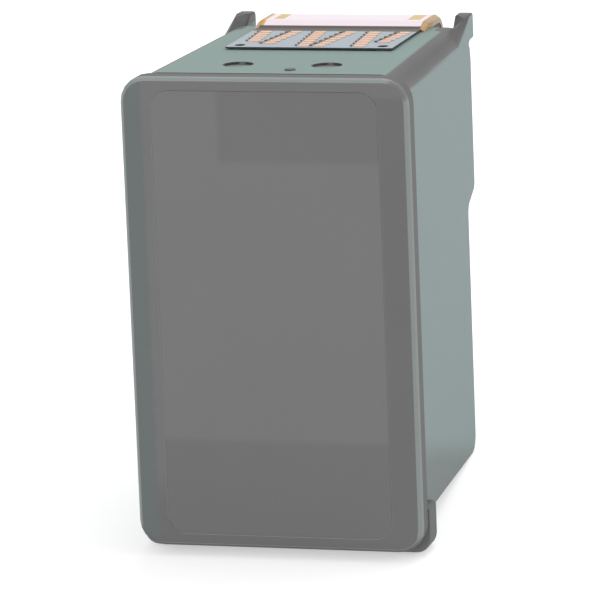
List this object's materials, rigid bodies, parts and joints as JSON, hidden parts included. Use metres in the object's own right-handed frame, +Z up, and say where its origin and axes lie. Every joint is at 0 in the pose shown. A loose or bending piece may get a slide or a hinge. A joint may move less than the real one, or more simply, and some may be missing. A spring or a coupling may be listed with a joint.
{
  "type": "inkjet ink cartridge",
  "caption": "Inkjet cartridge with built-in print head: drafted housing, flat lid with a bare label, stepped snout between corner ears, and a flex circuit bent over its edge.",
  "frame": {"origin": "centre of the bounding box on the ground, with the cartridge leaning back on its lip and rear lower edge", "axes": "+Z up, +X to the right across the lid as seen from in front, +Y from the lid towards the snout; the lid faces -Y"},
  "size_m": [0.0348, 0.0506, 0.0569],
  "materials": {
    "moulded_plastic": "fine matt moulding texture, grey, smoother on rounded edges",
    "label_film": "satin film, grey, bare",
    "foam": "open-cell foam",
    "steel_mesh": "fine woven mesh",
    "polyimide_film": "glossy amber film, pale cover and copper pads over the contact area",
    "silicon": "polished",
    "plated_nickel": "bright plating",
    "adhesive": "satin",
    "resin": "glossy dark resin"
  },
  "bodies": {
    "root": {"housing": "moulded_plastic", "lid": "moulded_plastic", "label": "label_film", "foam_upper": "foam", "foam_left": "foam", "foam_right": "foam", "filter_screen_upper": "steel_mesh", "filter_screen_left": "steel_mesh", "filter_screen_right": "steel_mesh", "flex_circuit": "polyimide_film", "print_die": "silicon", "nozzle_plate": "plated_nickel", "die_seal": "adhesive", "resin_bead_upper": "resin", "resin_bead_lower": "resin"}
  },
  "joints": []
}
